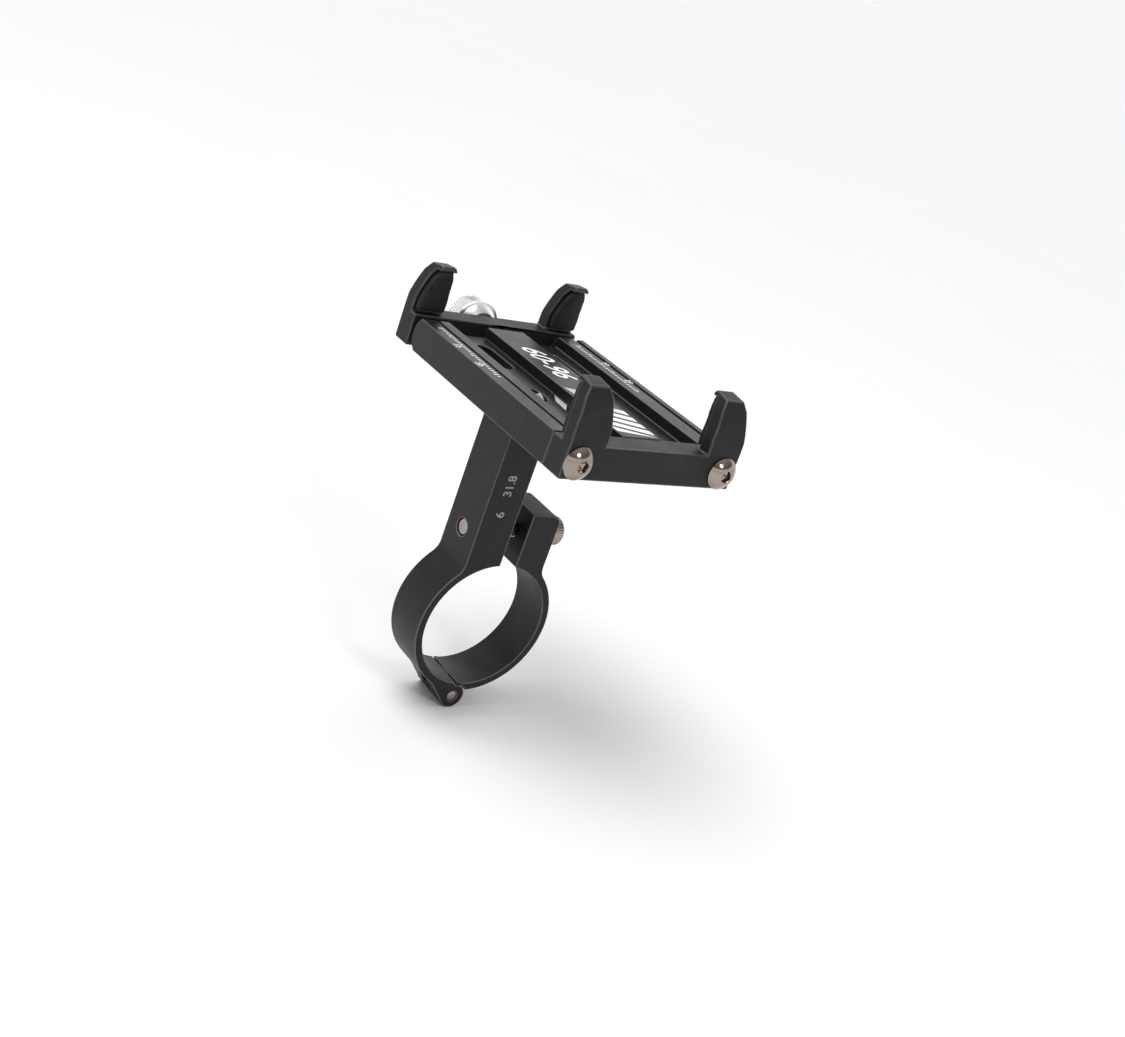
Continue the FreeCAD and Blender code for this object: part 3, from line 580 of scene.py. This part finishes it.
shank = threadedRod(*threadSet.values(), capHigh.x - tip - (capLow.x + h), 24)
moveMesh(shank, (1, 0, 0), Vector((capLow.x + h, 0, capZ)))
addMesh(cap, shank)
moveMesh(tipRound, (1, 0, 0), Vector((capHigh.x - tip, 0, capZ)))
addMesh(cap, tipRound)
finishPiece(cap, "clamp_cap_screw", "clamp_screw_body", ("steel",), ("clamp_screw",))

# the hinge pin, with slightly domed ends
pinSet = {"radius": 1.25 * mm, "dome": 0.12 * mm}
pinLow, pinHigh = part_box("hinge_pin")
pinLength = pinHigh.y - pinLow.y
r, dome = pinSet["radius"], pinSet["dome"]
end = [(0, 0), (r * 0.5, 0.02 * mm), (r - 0.18 * mm, dome), (r, dome + 0.15 * mm)]
pin = turned(end + [(radius, pinLength - height) for radius, height in reversed(end)], 48)
moveMesh(pin, (0, 1, 0), Vector((middleOf("hinge_pin").x, pinLow.y, middleOf("hinge_pin").z)))
finishPiece(pin, "domed_hinge_pin", "clamp_base", ("rod",), ("hinge_pin",))
print("screws ready")


# lead screw, knob and guide rods

leadLow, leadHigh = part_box("lead_screw")
leadMiddle = middleOf("lead_screw")
leadSet = {"radius": 2.5 * mm, "threadDepth": 0.4 * mm, "pitch": 0.8 * mm, "chamfer": 0.3 * mm,
           "jawThickness": 1.0 * mm}
clipLow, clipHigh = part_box("screw_clip")
plainEndY = clipLow.y + leadSet["jawThickness"]
plainLength = plainEndY - leadLow.y
grooveStart, grooveEnd = clipLow.y - leadLow.y, clipHigh.y - leadLow.y
r, c = leadSet["radius"], leadSet["chamfer"]
core = r - leadSet["threadDepth"]
lead = turned([(0, 0.5 * mm), (1.0 * mm, 0.15 * mm), (1.3 * mm, 0), (r - c, 0), (r, c),
               (r, grooveStart - 0.05 * mm), (core, grooveStart), (core, grooveEnd),
               (r, grooveEnd + 0.05 * mm), (r, plainLength), (r - 0.5 * mm, plainLength + 0.1 * mm),
               (0, plainLength + 0.1 * mm)], 64)
moveMesh(lead, (0, 1, 0), Vector((leadMiddle.x, leadLow.y, leadMiddle.z)))
screwThread = threadedRod(r, leadSet["threadDepth"], leadSet["pitch"], leadHigh.y - plainEndY)
moveMesh(screwThread, (0, 1, 0), Vector((leadMiddle.x, plainEndY, leadMiddle.z)))
addMesh(lead, screwThread)
finishPiece(lead, "threaded_lead_screw", "knob_and_screw", ("thread",), ("lead_screw",))

# a ridged disc with a ring groove in its far face and a coned boss towards the jaw
knobSet = {"ridges": 60, "ridgeDepth": 0.24 * mm, "bore": 2.5 * mm, "discLength": 4.6 * mm,
           "bossRoot": 5.3 * mm, "bossEnd": 4.0 * mm, "grooveRadius": 4.8 * mm, "groove": 0.12 * mm,
           "round": 0.45 * mm}
knobLow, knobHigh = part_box("adjusting_knob")
knobLength = knobHigh.y - knobLow.y
k = (knobHigh.x - knobLow.x) / 2
bore, disc, g, c = knobSet["bore"], knobSet["discLength"], knobSet["grooveRadius"], knobSet["round"]
bossRoot, bossEnd = knobSet["bossRoot"], knobSet["bossEnd"]
profile = [(bore, 0.25 * mm), (bore + 0.25 * mm, 0), (g - 0.3 * mm, 0), (g - 0.2 * mm, knobSet["groove"]),
           (g, knobSet["groove"]), (g + 0.1 * mm, 0), (k - c, 0), (k - 0.3 * c, 0.25 * c), (k - 0.01 * mm, c),
           (k, c + 0.15 * mm), (k, disc / 2), (k, disc - c - 0.15 * mm), (k - 0.01 * mm, disc - c),
           (k - 0.3 * c, disc - 0.25 * c), (k - c, disc), (bossRoot + 0.35 * mm, disc),
           (bossRoot + 0.1 * mm, disc + 0.1 * mm), (bossRoot, disc + 0.3 * mm),
           (bossEnd + 0.25 * mm, knobLength - 0.2 * mm), (bossEnd, knobLength), (bore + 0.2 * mm, knobLength),
           (bore, knobLength - 0.2 * mm), (bore, 0.25 * mm)]
knob = turned(profile, knobSet["ridges"] * 4)
for vert in knob.verts:
    if vert.co.xy.length > k - 0.005 * mm:
        part = (math.atan2(vert.co.y, vert.co.x) * knobSet["ridges"] / (2 * math.pi)) % 1
        vert.co.xy *= 1 - knobSet["ridgeDepth"] / k * (1 - abs(2 * part - 1))
moveMesh(knob, (0, 1, 0), Vector((leadMiddle.x, knobLow.y, leadMiddle.z)))
finishPiece(knob, "ridged_knob", "knob_and_screw", ("knob",), ("adjusting_knob",), 26)

# the guide rods, chamfered at both ends
rodSet = {"radius": 2.0 * mm, "chamfer": 0.35 * mm}
for side in ("front", "rear"):
    node = "guide_rod_" + side
    rodLow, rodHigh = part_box(node)
    length = rodHigh.y - rodLow.y
    r, c = rodSet["radius"], rodSet["chamfer"]
    rod = turned([(0, 0.03 * mm), (r * 0.4, 0.0), (r - c, 0), (r, c), (r, length - c), (r - c, length),
                  (0, length)], 64)
    middle = middleOf(node)
    moveMesh(rod, (0, 1, 0), Vector((middle.x, rodLow.y, middle.z)))
    finishPiece(rod, "ground_" + node, "sliding_jaw", ("rod",), (node,))

# the grub screw keeps its CAD shape
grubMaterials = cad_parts["knob_grub_screw"].data.materials
grubMaterials.clear()
grubMaterials.append(finishes["blackSteel"])
print("knob and rods ready")


# rubber pads

padSet = {"round": 0.35 * mm, "segments": 4, "angle": 40, "crown": 0.5 * mm, "crownEdge": 2.6 * mm,
          "cutsUp": 12, "cutsAcross": 9, "snap": 0.06 * mm}


def crownPad(mesh, low, high, inward):
    # cuts the pad into a grid and swells the face that touches the phone, more further from its edge
    def faces(face):
        return face.normal.y * inward > 0.5

    rim = [[vert.co.copy() for vert in edge.verts] for edge in mesh.edges
           if sum(faces(face) for face in edge.link_faces) == 1]
    for axis, cuts in ((0, padSet["cutsAcross"]), (2, padSet["cutsUp"])):
        for i in range(1, cuts):
            geometry = mesh.verts[:] + mesh.edges[:] + mesh.faces[:]
            at = low + (high - low) * (i / cuts)
            bmesh.ops.bisect_plane(mesh, geom=geometry, dist=padSet["snap"], plane_co=at,
                                   plane_no=(axis == 0, 0, axis == 2))
    for vert in mesh.verts:
        if all(faces(face) for face in vert.link_faces):
            away = min((vert.co - intersect_point_line(vert.co, *ends)[0]).length for ends in rim)
            share = min(1, away / padSet["crownEdge"])
            vert.co.y += inward * padSet["crown"] * (1 - (1 - share) ** 2)
    mesh.normal_update()


for node, body, inward in (("fixed_jaw_pad_front", "tray", -1), ("fixed_jaw_pad_rear", "tray", -1),
                           ("moving_jaw_pad_front", "sliding_jaw", 1),
                           ("moving_jaw_pad_rear", "sliding_jaw", 1)):
    mesh = machinedCopy(node)
    crownPad(mesh, *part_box(node), inward)
    piece = finishPiece(mesh, "moulded_" + node, body, ("rubber",), (node,), 180)
    soft = piece.modifiers.new("softCorners", "BEVEL")
    soft.width = padSet["round"]
    soft.segments = padSet["segments"]
    soft.limit_method = "ANGLE"
    soft.angle_limit = math.radians(padSet["angle"])
    soft.use_clamp_overlap = False
print("pads ready")


# prints

trayLow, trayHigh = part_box("tray_body")
inkThickness = 0.02 * mm


def printedNumber(name, words, height, place, along, up, body, ink, slant=0.0, bold=0.0, stretch=1.0):
    # numbers lying on a face: along is the reading direction, up is the top of the digits
    curve = bpy.data.curves.new(name, "FONT")
    curve.body = words
    curve.size = height
    curve.align_x = "CENTER"
    curve.align_y = "CENTER"
    curve.shear = slant
    curve.offset = bold
    curve.extrude = inkThickness
    curve.resolution_u = 6
    holder = bpy.data.objects.new(name, curve)
    bpy.context.scene.collection.objects.link(holder)
    bpy.context.view_layer.update()
    graph = bpy.context.evaluated_depsgraph_get()
    data = bpy.data.meshes.new_from_object(holder.evaluated_get(graph))
    bpy.data.objects.remove(holder)
    along, up = Vector(along), Vector(up)
    out = along.cross(up)
    turn = Matrix((along * stretch, up, out)).transposed().to_4x4()
    data.transform(Matrix.Translation(place) @ turn)
    mesh = bmesh.new()
    mesh.from_mesh(data)
    bpy.data.meshes.remove(data)
    cleanUp(mesh, 1e-8)
    finishPiece(mesh, name, body, (ink,))


def inkPatch(mesh, corners, z):
    # one flat patch of ink with its corners at (x, y), a little thick
    points = [mesh.verts.new((x, y, z)) for x, y in corners]
    face = mesh.faces.new(points)
    grown = bmesh.ops.extrude_face_region(mesh, geom=[face])["geom"]
    raised = [item for item in grown if isinstance(item, bmesh.types.BMVert)]
    bmesh.ops.translate(mesh, vec=(0, 0, inkThickness), verts=raised)


trayTopZ = trayHigh.z
frontX, rearX = trayHigh.x, trayLow.x
spineX = (frontX + rearX) / 2

# scale on the two rails: a tick each millimetre, longer each five, and a number each ten
scaleSet = {"frontX": frontX - 3.1 * mm, "rearX": rearX + 5.6 * mm, "start": -28 * mm, "count": 27,
            "tick": 0.9 * mm, "longTick": 1.3 * mm, "width": 0.36 * mm, "digits": 2.1 * mm,
            "digitsInward": 2.2 * mm, "bold": 0.03 * mm}
for side, x, inward in (("front", scaleSet["frontX"], 1), ("rear", scaleSet["rearX"], -1)):
    ticks = bmesh.new()
    for i in range(scaleSet["count"]):
        y = scaleSet["start"] + i * mm
        reach = scaleSet["longTick"] if i % 5 == 0 else scaleSet["tick"]
        w = scaleSet["width"] / 2
        ends = sorted((x, x + inward * reach))
        inkPatch(ticks, [(ends[0], y - w), (ends[1], y - w), (ends[1], y + w), (ends[0], y + w)], trayTopZ)
    cleanUp(ticks, 1e-8)
    finishPiece(ticks, side + "_rail_ticks", "tray", ("fineInk",))
    for i in range(10, scaleSet["count"], 10):
        place = Vector((x + inward * scaleSet["digitsInward"], scaleSet["start"] + i * mm, trayTopZ))
        printedNumber(side + "_rail_number_" + str(i), str(i), scaleSet["digits"], place, (0, 1, 0),
                      (-1, 0, 0), "tray", "fineInk", 0, scaleSet["bold"])

# the phone widths that the jaws take, on the spine
spineSet = {"words": "60-96", "height": 8.2 * mm, "middle": (-8.1 * mm, -14.4 * mm), "slant": 0.3,
            "bold": 0.09 * mm, "stretch": 0.9}
printedNumber("spine_number", spineSet["words"], spineSet["height"], Vector((*spineSet["middle"], trayTopZ)),
              (0, 1, 0), (-1, 0, 0), "tray", "whiteInk", spineSet["slant"], spineSet["bold"],
              spineSet["stretch"])

# slanted bars across the near end of the spine
barSet = {"start": 8.6 * mm, "end": 24.0 * mm, "lean": 2.1 * mm, "halfWidth": 5.0 * mm,
          "edges": (0, 2.2, 3.4, 5.5, 6.7, 8.8, 10.0, 12.1, 13.3, 15.4)}
bars = bmesh.new()
lean, half = barSet["lean"], barSet["halfWidth"]
for near, far in zip(barSet["edges"][::2], barSet["edges"][1::2]):
    y0, y1 = barSet["start"] + near * mm, barSet["start"] + far * mm
    inkPatch(bars, [(spineX - half, min(y0 + lean, barSet["end"])), (spineX + half, y0 - lean),
                    (spineX + half, y1 - lean), (spineX - half, min(y1 + lean, barSet["end"]))], trayTopZ)
cleanUp(bars, 1e-8)
finishPiece(bars, "spine_bars", "tray", ("whiteInk",))

# real print patches on the spine and the front channel's floor, drawn grey as painted shadow of the near
# claw, their corners in millimetres
patchSet = {"spine": ((-3.3, 0.2), (-6.6, 1.0), (-7.4, 4.8), (-4.0, 3.4)),
            "channel": ((-2.5, -1.0), (-2.5, 4.2), (-0.2, 7.2), (-0.6, 2.4)), "channelDepth": 2.6 * mm}
patches = bmesh.new()
for corners, z in ((patchSet["spine"], trayTopZ), (patchSet["channel"], trayTopZ - patchSet["channelDepth"])):
    inkPatch(patches, [(x * mm, y * mm) for x, y in corners], z)
cleanUp(patches, 1e-8)
finishPiece(patches, "white_print_painted_shadow", "tray", ("whiteInkPaintedShadow",))

# torque and bar size on the riser's near face
markSet = {"torque": "6", "torqueZ": 29.0 * mm, "barSize": "31.8", "barSizeZ": 36.2 * mm, "x": 6.3 * mm,
           "height": 3.1 * mm, "bold": 0.05 * mm}
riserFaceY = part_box("riser_clamp_half")[1].y
for name, words, z in (("riser_torque", markSet["torque"], markSet["torqueZ"]),
                       ("riser_bar_size", markSet["barSize"], markSet["barSizeZ"])):
    printedNumber(name, words, markSet["height"], Vector((markSet["x"], riserFaceY, z)), (0, 0, 1), (1, 0, 0),
                  "clamp_base", "greyInk", 0, markSet["bold"])
print("prints ready")


# floor, light and camera

floorMesh = bmesh.new()
bmesh.ops.create_grid(floorMesh, x_segments=1, y_segments=1, size=floorSet["halfWidth"])
bmesh.ops.translate(floorMesh, vec=(0, 0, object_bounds()[0].z), verts=floorMesh.verts)
floorData = bpy.data.meshes.new("floor")
floorMesh.to_mesh(floorData)
floorMesh.free()
floorData.materials.append(finishes["floor"])
floor = bpy.data.objects.new("floor", floorData)
bpy.context.scene.collection.objects.link(floor)

# a dim room with a pale wall behind the object and a pale band along the horizon
roomSet = {"tint": (0.99, 0.99, 1.0, 1), "dim": 0.17, "ceiling": 0.50, "ceilingFade": (0.45, 0.85),
           "pale": 0.94, "wallTop": 1.55, "paleFade": (0.14, 0.34), "wall": (-0.665, -0.747, 0.0),
           "wallFade": (0.35, 0.85), "bandTop": 0.24}
world = bpy.data.worlds.new("studio")
world.use_nodes = True
room = NodeMaker(world.node_tree)


def spread(value, start, end, low=0.0, high=1.0):
    # low where value is at start, high where it is at end
    made = room.node("ShaderNodeMapRange", {}, {"Value": value, "From Min": start, "From Max": end,
                                                "To Min": low, "To Max": high})
    return made.outputs["Result"]


sky = room.node("ShaderNodeTexCoord").outputs["Generated"]
height = room.node("ShaderNodeSeparateXYZ", {}, {0: sky}).outputs["Z"]
facing = room.node("ShaderNodeVectorMath", {"operation": "DOT_PRODUCT"}, {0: sky, 1: roomSet["wall"]})
wall = spread(facing.outputs["Value"], *roomSet["wallFade"])
band = spread(height, roomSet["bandTop"] * 1.8, roomSet["bandTop"])
both = room.node("ShaderNodeMath", {"operation": "MAXIMUM"}, {0: wall, 1: band}).outputs[0]
upper = spread(height, *roomSet["ceilingFade"], roomSet["dim"], roomSet["ceiling"])
bright = spread(height, *roomSet["paleFade"], roomSet["pale"], roomSet["wallTop"])
background = room.tree.nodes["Background"]
background.inputs["Color"].default_value = roomSet["tint"]
room.tree.links.new(spread(both, 0.0, 1.0, upper, bright), background.inputs["Strength"])
bpy.context.scene.world = world

sunSet = {"place": (0.8, -0.5, 2.2), "power": 1.8, "angle": 45}
lampSet = {
    "topSoftbox": {"place": (0.25, -0.15, 0.70), "size": 0.40, "power": 0.8, "tint": (1.0, 0.98, 0.95)},
    "nearLamp": {"place": (0.05, 0.70, 0.60), "size": 0.20, "power": 1.5, "tint": (1.0, 0.96, 0.92)},
}
aimAt = (cadBox[0] + cadBox[1]) / 2


def hang(light, place):
    # puts a light in the studio, turned to the object
    holder = bpy.data.objects.new(light.name, light)
    holder.location = place
    holder.rotation_mode = "QUATERNION"
    holder.rotation_quaternion = (aimAt - Vector(place)).to_track_quat("-Z", "Y")
    bpy.context.scene.collection.objects.link(holder)


for name, lamp in lampSet.items():
    light = bpy.data.lights.new(name, "AREA")
    light.size = lamp["size"]
    light.energy = lamp["power"]
    light.color = lamp["tint"]
    hang(light, lamp["place"])
sun = bpy.data.lights.new("skylight", "SUN")
sun.energy = sunSet["power"]
sun.angle = math.radians(sunSet["angle"])
hang(sun, sunSet["place"])

cameraSet = {"place": (0.2120, 0.2562, 0.1587), "right": (-0.78314057, 0.53074099, 0.32404451),
             "ahead": (-0.62092301, -0.69577693, -0.36103889), "lens": 50.264}
camera = bpy.data.cameras.new("camera")
camera.sensor_width = 36
camera.lens = cameraSet["lens"]
camera.clip_start = 0.01
camera.clip_end = 20
viewer = bpy.data.objects.new("camera", camera)
right, ahead = Vector(cameraSet["right"]), Vector(cameraSet["ahead"])
viewer.matrix_world = (Matrix.Translation(cameraSet["place"])
                       @ Matrix((right, right.cross(ahead), -ahead)).transposed().to_4x4())
bpy.context.scene.collection.objects.link(viewer)
bpy.context.scene.camera = viewer
bpy.context.scene.view_settings.view_transform = "Standard"

print("stage ready")
